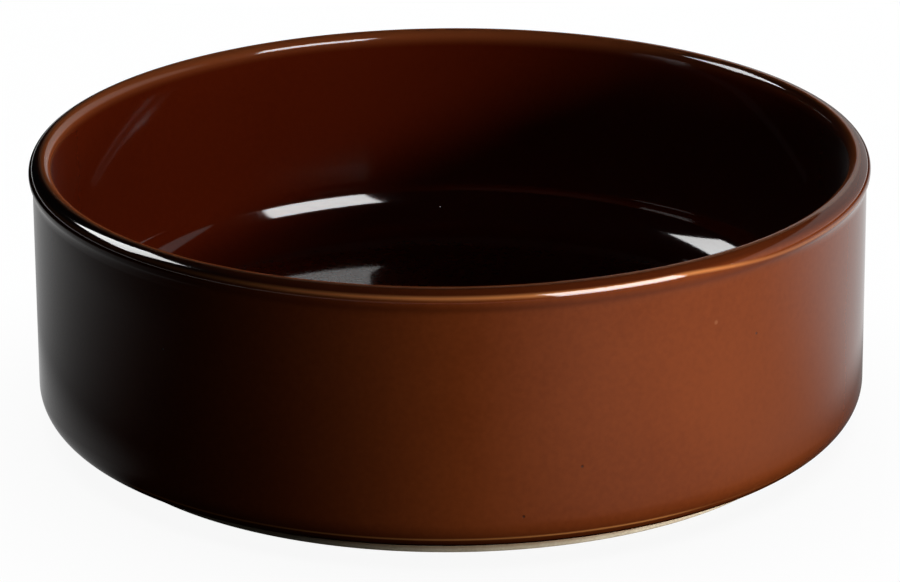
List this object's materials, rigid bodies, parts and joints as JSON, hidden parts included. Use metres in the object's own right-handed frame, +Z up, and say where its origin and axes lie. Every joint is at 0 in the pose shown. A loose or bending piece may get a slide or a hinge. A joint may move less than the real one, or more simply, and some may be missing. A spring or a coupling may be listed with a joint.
{
  "type": "vegetable bowl",
  "caption": "Round straight-sided serving bowl in brown glazed stoneware, with a rounded lip, a coved flat floor and a bare foot ring.",
  "frame": {"origin": "middle of the standing ring, on the plane of the table", "axes": "+Z up along the bowl's axis; X and Y are interchangeable because the bowl is round"},
  "size_m": [0.22, 0.22, 0.0737],
  "materials": {
    "clay": "bare fired clay, matt",
    "glaze": "glossy brown glaze"
  },
  "bodies": {
    "root": {"stoneware_body": "clay", "glaze_coat": "glaze", "underside_glaze": "glaze"}
  },
  "joints": []
}
